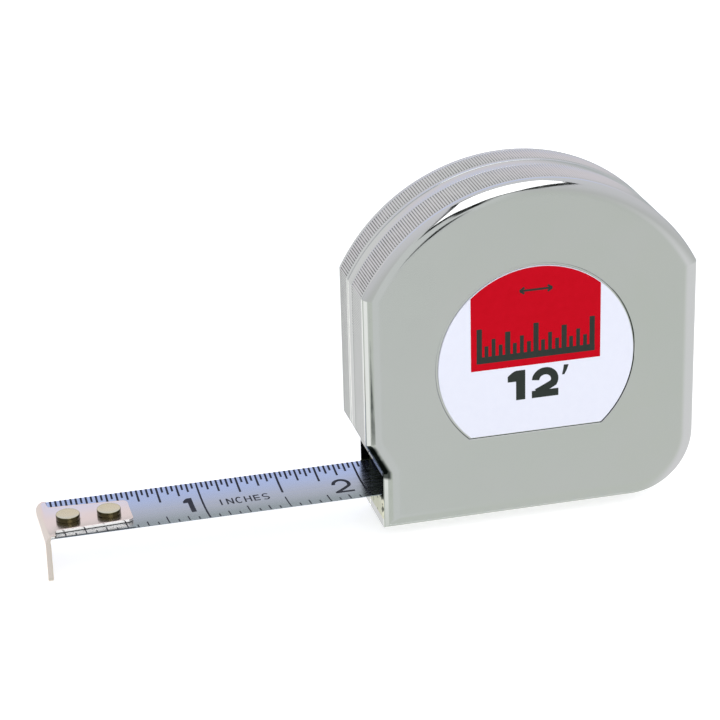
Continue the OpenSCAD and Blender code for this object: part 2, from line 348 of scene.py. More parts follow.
def bump(tree, height, distance):
    made = node(tree, "ShaderNodeBump")
    made.inputs["Distance"].default_value = distance * MM
    made.inputs["Strength"].default_value = 1.0
    tree.links.new(height, made.inputs["Height"])
    return made.outputs["Normal"]


def axis_of(tree, axis):
    """One object coordinate in millimetres."""
    where = node(tree, "ShaderNodeTexCoord")
    split = node(tree, "ShaderNodeSeparateXYZ")
    tree.links.new(where.outputs["Object"], split.inputs["Vector"])
    return calc(tree, "MULTIPLY", split.outputs[axis], 1 / MM)


def radius_from(tree, x, z, at_x, at_z):
    """Distance from a line along Y."""
    squares = []
    for value, at in ((x, at_x), (z, at_z)):
        away = calc(tree, "SUBTRACT", value, at)
        squares.append(calc(tree, "MULTIPLY", away, away))
    return calc(tree, "SQRT", calc(tree, "ADD", *squares))


def metal(name, first, second, rough, rough_spread=0.06, grain=(1, 1, 1), scratch=0.0006, wear=260.0):
    """Plated or bare metal: two close tones, uneven gloss and fine marks."""
    made, tree = material(name)
    low, high = rough - rough_spread, rough + rough_spread
    paint(tree, Metallic=1.0,
          Base_Color=mixed(tree, noise(tree, wear, 4.0, 0.6, grain), first, second),
          Roughness=uneven(tree, wear * 2.3, low, high, 5.0, 0.65, grain),
          Normal=bump(tree, noise(tree, wear * 9.0, 4.0, 0.7, grain), scratch))
    return made


def plastic(name, first, second, rough, grain_scale=900.0, depth=0.004):
    """Moulded or painted surface: mottled colour, fine texture."""
    made, tree = material(name)
    paint(tree, Base_Color=mixed(tree, noise(tree, grain_scale * 0.35, 4.0), first, second),
          Roughness=uneven(tree, grain_scale, rough - 0.06, rough + 0.06),
          Normal=bump(tree, noise(tree, grain_scale * 2.0), depth))
    return made


def overlay_colour(made, mask, colour):
    """Mixes a colour over a finished material's colour, by a mask."""
    tree = made.node_tree
    base = shader_of(tree).inputs["Base Color"].links[0].from_socket
    paint(tree, Base_Color=mixed(tree, mask, base, colour))
    return made


def recess_shadow(tree, x, z, side):
    """Painted shade along the foot of the recess's wall."""
    from_wall = calc(tree, "MINIMUM",
                     calc(tree, "SUBTRACT", LABEL_R, radius_from(tree, x, z, LABEL_X, LABEL_Z)),
                     calc(tree, "SUBTRACT", z, LABEL_FLAT))
    return calc(tree, "MULTIPLY",
                spread(tree, from_wall, 0.06, 0.14, 1.0, 0.0),
                spread(tree, from_wall, -0.1, -0.03, 0.0, 1.0),
                spread(tree, side, HALF_T - 0.25, HALF_T - 0.1, 0.9, 0.0))


def mouth_shadow(tree, x, z, side):
    """Painted shade on the walls inside the mouth."""
    return calc(tree, "MULTIPLY",
                spread(tree, x, MOUTH_X + 0.1, MOUTH_X + 0.3, 0.0, 0.97),
                spread(tree, x, MOUTH_X + 4.0, MOUTH_X + 5.0, 1.0, 0.0),
                spread(tree, z, 4.2, 4.8, 0.0, 1.0),
                spread(tree, z, 11.5, 12.5, 1.0, 0.0),
                spread(tree, side, HALF_T - 0.8, HALF_T - 0.7, 1.0, 0.0))


def roof_shade(tree, x, z, side):
    """Painted shade under the nose, on the slanted roof of the mouth and its rounded edge, patchy and
    fading toward the rear.
    """
    rise, run = NOSE_BOTTOM - ROOF_BOTTOM, MOUTH_X - NOSE_X
    length = math.hypot(rise, run)
    across = calc(tree, "MULTIPLY", calc(tree, "SUBTRACT", x, MOUTH_X), rise / length)
    up = calc(tree, "MULTIPLY", calc(tree, "SUBTRACT", z, ROOF_BOTTOM), run / length)
    return calc(tree, "MULTIPLY",
                spread(tree, calc(tree, "ADD", across, up), 1.5, 1.8, 1.0, 0.0),
                spread(tree, z, NOSE_BOTTOM - 0.5, NOSE_BOTTOM + 0.3, 1.0, 0.0),
                spread(tree, z, ROOF_BOTTOM - 1.2, ROOF_BOTTOM - 0.6, 0.0, 1.0),
                spread(tree, side, HALF_T - 0.3, HALF_T - 0.12, 1.0, 0.0),
                spread(tree, axis_of(tree, "Y"), 1.5, 5.0, 1.0, 0.35),
                spread(tree, noise(tree, 500.0, 2.0, 0.5), 0.34, 0.48, 0.7, 0.96))


def flute_ends(tree):
    """Strong where the flutes of the front band run out."""
    low, high = FRONT_REEDS
    middle, half = (low + high) / 2, (high - low) / 2
    away = calc(tree, "ABSOLUTE", calc(tree, "SUBTRACT", axis_of(tree, "Y"), middle))
    return spread(tree, away, half - 0.4, half - 0.2, 0.0, 1.0)


def flute_darkening(tree, x, z, side):
    """Darker down in the flutes: less toward the rear and on the flat of the nose."""
    depth = calc(tree, "MINIMUM",
                 calc(tree, "SUBTRACT", TOP_R, radius_from(tree, x, z, HUB_X, HUB_Z)),
                 calc(tree, "SUBTRACT", x, NOSE_X), calc(tree, "SUBTRACT", REAR_X, x))
    off_nose = spread(tree, x, NOSE_X + REED_DEPTH + 0.1, NOSE_X + REED_DEPTH + 0.4, 0.45, 1.0)
    return calc(tree, "MULTIPLY",
                spread(tree, depth, 0.045, REED_DEPTH, 0.0, 1.0),
                spread(tree, side, HALF_T - SHOULDER_Y - 0.05, HALF_T - SHOULDER_Y, 1.0, 0.0),
                spread(tree, z, CORNER_R, CORNER_R + 0.3, 0.0, 1.0),
                uneven(tree, 600.0, 0.5, 0.8),
                spread(tree, x, HUB_X - 20.0, HUB_X + 8.0, 1.0, 0.25),
                calc(tree, "MAXIMUM", off_nose, flute_ends(tree)))


def chrome_shell():
    """Satin chrome on the faces, a brighter polish on the rim and the rounded edge."""
    made, tree = material("chrome_shell")
    x, z = axis_of(tree, "X"), axis_of(tree, "Z")
    side = calc(tree, "ABSOLUTE", axis_of(tree, "Y"))
    polish = spread(tree, side, HALF_T - 0.014, HALF_T - 0.002, 1.0, 0.0)
    haze, shine = uneven(tree, 150.0, 0.19, 0.27, 5.0, 0.6), uneven(tree, 420.0, 0.05, 0.09)
    tone = mixed(tree, noise(tree, 55.0, 4.0, 0.5), (0.735, 0.765, 0.735), (0.785, 0.782, 0.782))
    # The dark colour is painted shade at the foot of the label's recess, on the roof of the mouth and
    # on the walls inside it, and a darkening down in the flutes.
    masks = [mask(tree, x, z, side) for mask in (flute_darkening, recess_shadow, roof_shade, mouth_shadow)]
    paint(tree, Metallic=1.0, Roughness=mixed(tree, polish, haze, shine, "FLOAT"),
          Base_Color=mixed(tree, calc(tree, "MAXIMUM", *masks), tone, (0.05, 0.06, 0.055)),
          Normal=bump(tree, noise(tree, 1500.0, 4.0, 0.7, (1, 1, 0.25)), 0.00035))
    return made


def blade_steel():
    """Satin chromed blade: fine lengthwise grain, and a painted reflection that gives a brighter,
    cooler tone toward the back edge.
    """
    made, tree = material("blade_steel")
    across = spread(tree, axis_of(tree, "Y"), -BLADE_W / 2, BLADE_W / 2, 0.0, 1.0)
    # painted reflection: grey-green toward the front edge, brighter lilac-blue toward the back edge
    tone = mixed(tree, across, (0.49, 0.555, 0.58), (0.61, 0.68, 0.81))
    cloud = mixed(tree, noise(tree, 240.0, 4.0, 0.6, (0.25, 1, 1)), (0.93, 0.93, 0.94), (1, 1, 1))
    grain = noise(tree, 2600.0, 3.0, 0.6, (0.02, 1, 1))
    paint(tree, Metallic=1.0, Base_Color=mixed(tree, 1.0, tone, cloud, blend_type="MULTIPLY"),
          Roughness=spread(tree, grain, 0.3, 0.7, 0.20, 0.29), Normal=bump(tree, grain, 0.0003))
    return made


def coil_steel():
    """The wound blade: its turns show as fine rings round the hub."""
    made, tree = material("coil_steel")
    radius = radius_from(tree, axis_of(tree, "X"), axis_of(tree, "Z"), HUB_X, HUB_Z)
    turn = calc(tree, "FRACT", calc(tree, "DIVIDE", radius, TURN_PITCH))
    gap = spread(tree, turn, 0.0, 0.25, 0.0, 1.0)
    paint(tree, Metallic=1.0, Base_Color=mixed(tree, gap, (0.16, 0.17, 0.19), (0.66, 0.68, 0.74)),
          Roughness=uneven(tree, 700.0, 0.3, 0.42), Normal=bump(tree, gap, 0.02))
    return made


def printed(name, first, second, rough, gloss):
    """Printed ink or enamel: slightly uneven colour under a thin gloss."""
    made, tree = material(name)
    paint(tree, Specular_IOR_Level=gloss,
          Base_Color=mixed(tree, noise(tree, 900.0, 5.0, 0.65), first, second),
          Roughness=uneven(tree, 1400.0, rough - 0.06, rough + 0.08),
          Normal=bump(tree, noise(tree, 3000.0), 0.002))
    return made


def rivet_metal():
    """Worn nickel on top of the head, darker round its side below the crown."""
    tones = (0.80, 0.725, 0.49), (0.89, 0.82, 0.575)
    made = metal("rivet_nickel", *tones, 0.26, scratch=0.0008, wear=500.0)
    tree, top = made.node_tree, box_mm("rivet_outer")[1][2]
    side_darkening = spread(tree, axis_of(tree, "Z"), top - 0.13, top - 0.06, 1.0, 0.0)
    return overlay_colour(made, side_darkening, (0.07, 0.062, 0.03))


def worn_shaded_nylon():
    """Cream moulding with dark pits where the blade and grit have rubbed it, and painted shade further
    inside the mouth and from the top of the sill up.
    """
    made = plastic("cream_nylon", (0.62, 0.62, 0.44), (0.76, 0.76, 0.60), 0.46, 700.0, 0.006)
    tree = made.node_tree
    # the pits are real wear; the X and Z terms are painted shade, darker further inside the mouth and
    # from the top of the sill up
    pits_and_shade = calc(tree, "MAXIMUM",
                spread(tree, noise(tree, 1000.0, 2.0, 0.5, (1, 0.8, 0.7)), 0.58, 0.64, 0.0, 0.9),
                spread(tree, axis_of(tree, "X"), MOUTH_X + 0.2, MOUTH_X + 1.3, 0.0, 0.97),
                spread(tree, axis_of(tree, "Z"), 4.7, 5.1, 0.0, 0.97))
    return overlay_colour(made, pits_and_shade, (0.05, 0.06, 0.035))


CHROME = chrome_shell()
BLADE = blade_steel()
COIL = coil_steel()
# the blade's ink also draws a painted shadow beside the hook's plate
BLADE_INK_AND_SHADOW = printed("blade_ink_and_shadow", (0.006, 0.009, 0.020), (0.016, 0.02, 0.034), 0.5, 0.25)
INK_LABEL = printed("label_ink", (0.014, 0.022, 0.016), (0.022, 0.03, 0.024), 0.5, 0.3)
ENAMEL = printed("label_enamel", (0.73, 0.75, 0.83), (0.77, 0.79, 0.86), 0.34, 0.25)
RED = printed("label_red", (0.47, 0.0015, 0.008), (0.55, 0.003, 0.014), 0.4, 0.03)
NICKEL = metal("hook_nickel", (0.97, 0.84, 0.77), (1.0, 0.90, 0.83), 0.17, 0.04,
               scratch=0.0004, wear=220.0)
RIVET = rivet_metal()
BURR = metal("burr_nickel", (0.60, 0.58, 0.54), (0.68, 0.66, 0.62), 0.28, 0.06)
SCREW = metal("screw_plate", (0.66, 0.67, 0.68), (0.74, 0.75, 0.76), 0.20, 0.07,
              scratch=0.0008, wear=420.0)
POST = metal("turned_steel", (0.52, 0.53, 0.55), (0.60, 0.61, 0.62), 0.26, 0.06, (1, 12, 1))
SPRING = metal("spring_steel", (0.30, 0.32, 0.36), (0.40, 0.41, 0.44), 0.32, 0.08)
BRASS = metal("brass", (0.66, 0.46, 0.18), (0.74, 0.55, 0.24), 0.28, 0.07)
NYLON = worn_shaded_nylon()
NATURAL = plastic("natural_nylon", (0.70, 0.68, 0.58), (0.77, 0.75, 0.66), 0.5)
BLACK = plastic("black_moulding", (0.018, 0.019, 0.021), (0.035, 0.036, 0.04), 0.42)
FIBRE = plastic("fibre_board", (0.055, 0.058, 0.064), (0.10, 0.10, 0.11), 0.62, 600.0, 0.01)


# ======================= case shells =======================


def stretches(inset):
    """The stretches of the case's side outline, clockwise from the foot of the nose.

    Each is a function of a fraction from 0 to 1 that gives points in X and Z, for the
    outline moved inward by inset. The slanted roof keeps parallel to itself.
    """
    lift = ROOF_LIFT * inset
    left, right = NOSE_X + inset, REAR_X - inset
    mouth, radius = MOUTH_X + inset, TOP_R - inset
    left_z = HUB_Z + math.sqrt(radius ** 2 - (left - HUB_X) ** 2)
    right_z = HUB_Z + math.sqrt(radius ** 2 - (right - HUB_X) ** 2)

    def line(a, b):
        a, b = np.array(a, float), np.array(b, float)
        return lambda t: a + (b - a) * t[:, None]

    def arc(x, z, r, start, end):
        def points(t):
            angle = start + (end - start) * t
            return np.stack([x + r * np.cos(angle), z + r * np.sin(angle)], 1)
        return points

    start = math.atan2(left_z - HUB_Z, left - HUB_X)
    end = math.atan2(right_z - HUB_Z, right - HUB_X)
    nose = (left, NOSE_BOTTOM + lift)
    roof = (mouth, ROOF_BOTTOM + lift)
    return {
        "nose": line(nose, (left, left_z)),
        "top": arc(HUB_X, HUB_Z, radius, start, end),
        "rear": line((right, right_z), (right, CORNER_R)),
        "corner": arc(CORNER_X, CORNER_R, CORNER_R - inset, 0, -math.pi / 2),
        "base": line((CORNER_X, inset), (mouth, inset)),
        "mouth": line((mouth, inset), roof),
        "roof": line(roof, nose),
    }


REEDED = ("nose", "top", "rear")
PLAIN_STEP = {"corner": 0.35, "base": 0.7, "mouth": 0.3, "roof": 0.3}


def outline_columns():
    """Outline points at no inset, their move per millimetre of inset, and flute depth."""
    outer, inner = stretches(0.0), stretches(1.0)
    starts, moves, depths = [], [], []
    for name, points in outer.items():
        dense = points(np.linspace(0, 1, 200))
        length = np.linalg.norm(np.diff(dense, axis=0), axis=1).sum()
        if name in REEDED:
            flutes = round(length / REED_PITCH)
            count = flutes * REED_STEPS
            phase = np.arange(count) / REED_STEPS
            depth = 0.5 - 0.5 * np.cos(2 * math.pi * phase)
        else:
            count = math.ceil(length / PLAIN_STEP[name])
            depth = np.zeros(count)
        t = np.arange(count) / count
        starts.append(points(t))
        moves.append(inner[name](t) - points(t))
        depths.append(depth)
    return np.concatenate(starts), np.concatenate(moves), np.concatenate(depths)


OUTLINE, INWARD, FLUTE = outline_columns()


def shell_ring(y, inset, reed=0.0):
    """One ring of a shell; reed is the depth of the flutes here, from 0 to 1."""
    reach = inset + reed * REED_DEPTH * FLUTE
    return np.insert(OUTLINE + INWARD * reach[:, None], 1, y, axis=1)


def shoulder(side, steps=14):
    """Inset and Y of the rounded edge, from the rim to the face."""
    angles = np.linspace(0, math.pi / 2, steps + 1)
    reach = SHOULDER_IN * (1 - np.cos(angles))
    across = HALF_T - SHOULDER_Y + SHOULDER_Y * np.sin(angles)
    return [(side * y, d) for y, d in zip(across, reach)]


def reed_rows(low, high):
    """Y and flute depth across one reeded band, with a rounded run-out at both ends."""
    steps = np.linspace(0, 1, 5)
    ends = [(REED_END * s, math.sin(math.pi / 2 * s)) for s in steps]
    rows = [(low + d, e) for d, e in ends]
    return rows + [(high - d, e) for d, e in reversed(ends)]


def label_ring(y, gap):
    """The label's outline, one point for each column, seen from the label's centre."""
    centre = np.array([LABEL_X, LABEL_Z])
    away = OUTLINE - centre
    away /= np.linalg.norm(away, axis=1)[:, None]
    radius = LABEL_R - gap
    flat = LABEL_FLAT + gap
    reach = np.full(len(away), radius)
    down = away[:, 1] < -0.2
    reach[down] = np.minimum(radius, (flat - LABEL_Z) / away[down, 1])
    ring = centre + away * reach[:, None]
    half = math.sqrt(radius ** 2 - (LABEL_Z - flat) ** 2)
    for side in (-1, 1):
        corner = np.array([LABEL_X + side * half, flat])
        ring[np.argmin(np.linalg.norm(ring - corner, axis=1))] = corner
    return np.insert(ring, 1, y, axis=1)


# half of the groove along the seam: how far from the seam, and how deep
SEAM_GROOVE = ((0.5, 0.0), (0.17, 0.0), (0.11, 0.03), (0.07, 0.09), (0.05, 0.16),
               (0.05, 0.5), (0.0, 0.5))


def rim_and_inside(side, reeds):
    """Rings from the face's edge round the rim and the seam to the inside of the wall."""
    face_y = side * HALF_T
    rings = [shell_ring(y, d) for y, d in reversed(shoulder(side))]
    low, high = reeds
    rows = reed_rows(low, high) if side < 0 else list(reversed(reed_rows(low, high)))
    rings += [shell_ring(y, 0.0, e) for y, e in rows]
    rings += [shell_ring(SEAM_Y + side * away, depth) for away, depth in SEAM_GROOVE]
    rings.append(shell_ring(SEAM_Y, WALL))
    inside_y = face_y - side * WALL
    rings += [shell_ring(inside_y, WALL)]
    return rings, inside_y


def front_shell():
    face_y = -HALF_T
    rim, inside_y = rim_and_inside(-1, FRONT_REEDS)
    soft = 0.05
    recess = ((face_y + RECESS, 0.0), (face_y + soft, 0.0), (face_y, -soft), (face_y, -0.4))
    rings = [label_ring(y, gap) for y, gap in recess]
    rings += [shell_ring(face_y, SHOULDER_IN + 0.15)] + rim
    verts, faces = rings_to_solid(
        rings, (LABEL_X, face_y + RECESS, LABEL_Z), (HUB_X, inside_y, HUB_Z))
    return new_object("front_shell", verts, faces, [CHROME], 30.0)


def rear_shell():
    rim, inside_y = rim_and_inside(1, REAR_REEDS)
    centre = np.array([HUB_X, HUB_Z])
    flat = OUTLINE + INWARD * (SHOULDER_IN + 0.15)
    rings = [np.insert(centre + (flat - centre) * share, 1, HALF_T, axis=1) for share in (0.3, 1.0)]
    verts, faces = rings_to_solid(rings + rim, (HUB_X, HALF_T, HUB_Z), (HUB_X, inside_y, HUB_Z))
    return new_object("rear_shell", verts, faces, [CHROME], 30.0)


def screw_nodes():
    return [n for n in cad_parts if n.startswith("screw_")]


def cut_holes(front, rear):
    """The mouth through both shells, and the screw holes in the rear one."""
    for obj in (front, rear):
        outward(obj)
    reach = throat_high[1]
    low = (MOUTH_X - 2, -reach - 0.02, throat_low[2] - 0.02)
    high = (MOUTH_X + WALL + 0.6, reach + 0.02, throat_high[2] + 0.02)
    cut(front, [block("mouth_cut", low, high, [])], 30.0)
    holes = [block("mouth_cut", low, high, [])]
    for name in screw_nodes():
        low_c, high_c = box_mm(name)
        x, z = (low_c[0] + high_c[0]) / 2, (low_c[2] + high_c[2]) / 2
        head = (high_c[0] - low_c[0]) / 2
        shank = head - 0.86
        profile = [(shank, HALF_T - 2 * WALL), (shank, HALF_T - 0.96), (head + 0.1, HALF_T + 0.02)]
        holes.append(lathe("hole", 1, (x, z), profile, []))
    holes.append(lathe("hole", 1, (HUB_X, HUB_Z), [(1.3, HALF_T - 2), (1.3, HALF_T + 1)], []))
    cut(rear, holes, 30.0)


def case_pieces():
    front, rear = front_shell(), rear_shell()
    cut_holes(front, rear)
    for obj, cad in ((front, "front_case"), (rear, "rear_case")):
        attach(obj, "case")
        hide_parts(cad)


def throat_sill():
    """The cream sill under the blade: cupped like the blade, with a channel for the rivets."""
    half, low, top = throat_high[1], throat_low[2], SILL_TOP
    channel = box_mm("burr_outer")[1][1] + 0.2
    channel_floor = box_mm("rivet_outer")[0][2] - 0.25
    cup_r = CUP_R + BLADE_T + 0.2
    edge = math.sqrt(cup_r ** 2 - (AXIS_Z - top) ** 2)
    across = np.linspace(edge, -edge, 41)
    curve = [(y, AXIS_Z - math.sqrt(cup_r ** 2 - y ** 2)) for y in across]
    curve = [(y, channel_floor if abs(y) < channel else z) for y, z in curve]
    outline = np.array([(-half, low), (half, low), (half, top), *curve, (-half, top)])
    centre = np.array([0.0, (low + top) / 2])
    start, end = throat_low[0], throat_high[0]
    sections = []
    for x, inset in ((start, 0.22), (start + 0.05, 0.1), (start + 0.22, 0.0), (end, 0.0)):
        shape = outline + np.sign(centre - outline) * inset * np.array([1.0, 0.5])
        sections.append(np.insert(shape, 0, x, axis=1))
    verts, faces = tube_of_sections(sections)
    return solid("throat_sill", verts, faces, [NYLON])


def throat_frame():
    """The frame round the blade behind the mouth wall, one moulding with the sill."""
    half, end = throat_high[1], throat_high[0]
    start = MOUTH_X + 1.5
    ring = block("throat_frame", (start, -half, SILL_TOP), (end, half, throat_high[2]), [NYLON])
    inner = half - 0.28
    slot = block("slot", (start - 1, -inner, 4.0), (end + 1, inner, throat_high[2] - 0.5), [])
    outward(ring)
    cut(ring, [slot])
    bevel(ring, 0.08, 2)
    return ring


def throat_pieces():
    sill, ring = throat_sill(), throat_frame()
    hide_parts("throat_insert")
    for piece in (sill, ring):
        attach(piece, "case")


# ======================= label =======================


def flat_solid(name, outline, y_low, y_high, materials, edge=0.03):
    """A thin plate parallel to the face, with its front edge broken."""
    points = np.asarray(outline, float)
    centre = points.mean(0)
    inner = points + (centre - points) / np.linalg.norm(points - centre, axis=1)[:, None] * edge
    rings = [
        np.insert(inner, 1, y_low, axis=1),
        np.insert(points, 1, y_low + edge * 0.6, axis=1),
        np.insert(points, 1, y_high, axis=1),
    ]
    verts, faces = rings_to_solid(
        rings, (centre[0], y_low, centre[1]), (centre[0], y_high, centre[1]))
    return solid(name, verts, faces, materials, 30.0)


def label_outline():
    """Circle with a straight lower edge, at the CAD label's place."""
    x, z = LABEL_X + 0.12, LABEL_Z - 0.1
    radius, flat = LABEL_R - LABEL_GAP, label_low[2]
    start = math.asin((flat - z) / radius)
    angles = np.linspace(start, math.pi - start, 160)
    return np.stack([x + radius * np.cos(angles), z + radius * np.sin(angles)], 1)


def panel_outline():
    """The red panel: straight sides and foot, round top inside the label's edge."""
    left, right, foot = panel_low[0], panel_high[0], panel_low[2]
    x, z, radius = LABEL_X + 0.12, LABEL_Z - 0.1, LABEL_R - LABEL_GAP - 0.1
    start = math.acos((right - x) / radius)
    end = math.acos((left - x) / radius)
    angles = np.linspace(start, end, 80)
    arc = np.stack([x + radius * np.cos(angles), z + radius * np.sin(angles)], 1)
    return np.concatenate([[(left, foot), (right, foot)], arc])


def ribbon(points, width):
    """Left and right sides of a stroke along a line of points, with mitred corners."""
    points = np.asarray(points, float)
    steps = np.diff(points, axis=0)
    steps /= np.linalg.norm(steps, axis=1)[:, None]
    before = np.vstack([steps[:1], steps])
    after = np.vstack([steps, steps[-1:]])
    middle = before + after
    middle /= np.linalg.norm(middle, axis=1)[:, None]
    normal = np.stack([-middle[:, 1], middle[:, 0]], 1)
    share = np.clip((middle * after).sum(1), 0.35, 1)
    offset = normal * (width / 2 / share)[:, None]
    return points + offset, points - offset


def densify(points, step=0.6):
    """Adds points so that no span is longer than step."""
    points = np.asarray(points, float)
    out = [points[0]]
    for a, b in zip(points[:-1], points[1:]):
        count = max(1, math.ceil(np.linalg.norm(b - a) / step))
        out += [a + (b - a) * k / count for k in range(1, count + 1)]
    return np.array(out)


def arc_points(x, y, rx, ry, start, end, count=14):
    angles = np.radians(np.linspace(start, end, count))
    return [(x + rx * math.cos(a), y + ry * math.sin(a)) for a in angles]


class Print:
    """Gathers flat marks as thin solids and makes them one mesh on a surface."""

    def __init__(self, place, thickness):
        self.place = place          # function from (u, v, height) to a point
        self.thickness = thickness
        self.level = 1.0            # changes so that crossing strokes don't coincide
        self.verts = []
        self.faces = []

    def strip(self, left, right):
        """A closed solid between two sides of a stroke."""
        base = len(self.verts)
        self.level = 1.0 + (self.level - 0.7) % 1.5
        top = self.level
        for a, b in zip(left, right):
            for (u, v), height in ((a, top), (b, top), (b, -0.6), (a, -0.6)):
                self.verts.append(self.place(u, v, height * self.thickness))
        count = len(left)
        for i in range(count - 1):
            k = base + 4 * i
            for j in range(4):
                n = (j + 1) % 4
                self.faces.append([k + j, k + n, k + 4 + n, k + 4 + j])
        self.faces.append([base + 3, base + 2, base + 1, base])
        end = base + 4 * (count - 1)
        self.faces.append([end, end + 1, end + 2, end + 3])

    def stroke(self, points, width, dense=True):
        line = densify(points) if dense else np.asarray(points, float)
        self.strip(*ribbon(line, width))

    def make(self, name, materials):
        obj = new_object(name, self.verts, self.faces, materials, 40.0)
        work = bmesh.new()
        work.from_mesh(obj.data)
        bmesh.ops.recalc_face_normals(work, faces=work.faces)
        work.to_mesh(obj.data)
        work.free()
        return obj


def glyph_one(out, x, y, height, stroke):
    """A bold 1: a stem with a flag that curves down to the left."""
    stem_x = x + 0.27 * height - stroke / 2
    out.strip([(stem_x - stroke / 2, y + height * k / 6) for k in range(7)],
              [(stem_x + stroke / 2, y + height * k / 6) for k in range(7)])
    tip = y + height
    drop = height * 0.18
    upper = [(stem_x - stroke * (0.45 + 0.24 * k), tip - drop * (k / 4) ** 1.6) for k in range(5)]
    lower = [(px, tip - drop - stroke * 0.62) for px, _ in upper]
    out.strip(lower, upper)


def glyph_two(out, x, y, width, height, stroke):
    """A 2: a bowl, a sweep to the lower left and a foot."""
    radius_x, radius_y = (width - stroke) / 2, height * 0.29
    cx, cy = x + width / 2, y + height - stroke / 2 - radius_y
    bowl = arc_points(cx, cy, radius_x, radius_y, 178, -28, 22)
    end = (x + stroke * 0.62, y + stroke * 0.75)
    last = bowl[-1]
    sweep = [(last[0] + (end[0] - last[0]) * t, last[1] + (end[1] - last[1]) * (t ** 0.92))
             for t in np.linspace(0.12, 1, 9)]
    out.stroke(bowl + sweep, stroke, dense=False)
    out.stroke([(x, y + stroke / 2), (x + width, y + stroke / 2)], stroke)


def label_point(y_face):
    return lambda u, v, height: (u, y_face - height, v)


def ruler_emblem(out, left, right, foot):
    """A plain strip of graduations standing on a base line."""
    base = 1.1
    out.stroke([(left, foot), (right, foot)], base)
    divisions = 16
    for k in range(divisions + 1):
        x = left + 0.45 + (right - left - 0.9) * k / divisions
        tall = 5.2 if k % 8 == 0 else 4.3 if k % 4 == 0 else 3.4 if k % 2 == 0 else 2.3
        out.stroke([(x, foot + base / 2), (x, foot + tall)], 0.85 if k % 4 == 0 else 0.62)


def double_arrow(out, x, z, half, stroke):
    """A small dimension arrow with two heads."""
    out.stroke([(x - half, z), (x + half, z)], stroke)
    for side in (-1, 1):
        tip = x + side * half
        for up in (-1, 1):
            out.stroke([(tip, z), (tip - side * 0.75, z + up * 0.5)], stroke)


def label_pieces():
    plate = flat_solid("label_plate", label_outline(), label_low[1], label_high[1], [ENAMEL], 0.06)
    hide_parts("front_label")
    panel_y = label_low[1] - 0.02
    panel = flat_solid("label_panel", panel_outline(), panel_y, label_low[1] + 0.01, [RED], 0.008)
    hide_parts("label_block")
    digits = Print(label_point(label_low[1]), 0.012)
    glyph_one(digits, -3.95, NUMBER_FOOT, NUMBER_HEIGHT, 1.48)
    glyph_two(digits, -1.55, NUMBER_FOOT, 4.3, NUMBER_HEIGHT, 1.2)
    digits.strip([(3.32, 22.72), (3.5, 23.5), (3.62, 24.36)],
                 [(3.72, 22.72), (4.12, 23.5), (4.4, 24.32)])
    number = digits.make("label_number", [INK_LABEL])
    art = Print(label_point(panel_y), 0.009)
    ruler_emblem(art, panel_low[0] + 0.9, panel_high[0] - 0.9, panel_low[2] + 1.7)
    double_arrow(art, (panel_low[0] + panel_high[0]) / 2, ARROW_Z, 2.6, 0.34)
    emblem = art.make("label_emblem", [INK_LABEL])
    for piece in (plate, panel, number, emblem):
        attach(piece, "case")


# ======================= blade =======================


def cup_point(x, y, height=0.0, cup=1.0, rise=0.0):
    """A point on the blade's top surface, or above it by height, at (x, y)."""
    radius = CUP_R - height
    angle = y / CUP_R
    curved_y, curved_z = radius * math.sin(angle), AXIS_Z - radius * math.cos(angle)
    flat_y, flat_z = y, BLADE_Z + height
    return (x, flat_y + (curved_y - flat_y) * cup, flat_z + (curved_z - flat_z) * cup + rise)


HALF_ARC = CUP_R * math.asin(BLADE_W / 2 / CUP_R)


def blade_section(x, cup, rise):
    """Closed section of the blade at x, with rounded edges."""
    across = np.linspace(-HALF_ARC, HALF_ARC, 29)
    top = [cup_point(x, y, 0.0, cup, rise) for y in across[1:-1]]
    low = [cup_point(x, y, -BLADE_T, cup, rise) for y in across[1:-1]]
    edge = [cup_point(x, s * (HALF_ARC - 0.02), h, cup, rise)
            for s, h in ((1, -0.02), (1, -BLADE_T + 0.02), (-1, -BLADE_T + 0.02), (-1, -0.02))]
    return np.array(top + edge[:2] + low[::-1] + edge[2:])


def blade_stations():
    """X, cup and rise along the blade, from its hook end to the coil."""
    straight = list(np.arange(tip_low[0], BEND_START - 1, 1.6)) + [BEND_START]
    stretch = [BEND_START + BEND_LENGTH * k / 48 for k in range(1, 49)]
    steady = [BEND_END + (FLATTEN_X - BEND_END) * k / 5 for k in range(1, 6)]
    stations = [(x, 1.0, 0.0) for x in straight + stretch + steady]
    for k in range(1, 17):
        t = k / 16
        ease = t * t * (3 - 2 * t)
        stations.append((FLATTEN_X + (COIL_X - FLATTEN_X) * t, 1 - ease, COIL_CLIMB * t * t))
    return stations


def blade_mesh():
    sections = [blade_section(*station) for station in blade_stations()]
    verts, faces = tube_of_sections(sections)
    return solid("blade_strip", verts, faces, [BLADE], 40.0)


BACK_TICKS = {32: 1.45, 16: 2.2, 8: 3.1, 4: 4.2, 2: 6.2}
FRONT_TICKS = {16: 1.3, 8: 2.1, 4: 3.2, 2: 4.8}


def coarsest(count, parts, lengths):
    """The length of tick number count when an inch has that many parts."""
    for division in sorted(lengths):
        if (count * division) % parts == 0:
            return lengths[division]
    return 0.0


def blade_print(out, first_inch, last_x):
    """Graduations from the start of first_inch as far as last_x."""
    edge = HALF_ARC - 0.03
    parts = 32
    count = first_inch * parts
    while ZERO_X + count / parts * INCH < last_x:
        x = ZERO_X + count / parts * INCH
        if x > tip_low[0] + 0.3:
            if count % parts == 0:
                out.stroke([(x, -edge), (x, edge)], 0.3)
            else:
                out.stroke([(x, edge - coarsest(count, parts, BACK_TICKS)), (x, edge)], 0.33)
                if count % 2 == 0:
                    out.stroke([(x, -edge), (x, -edge + coarsest(count, parts, FRONT_TICKS))], 0.2)
        count += 1


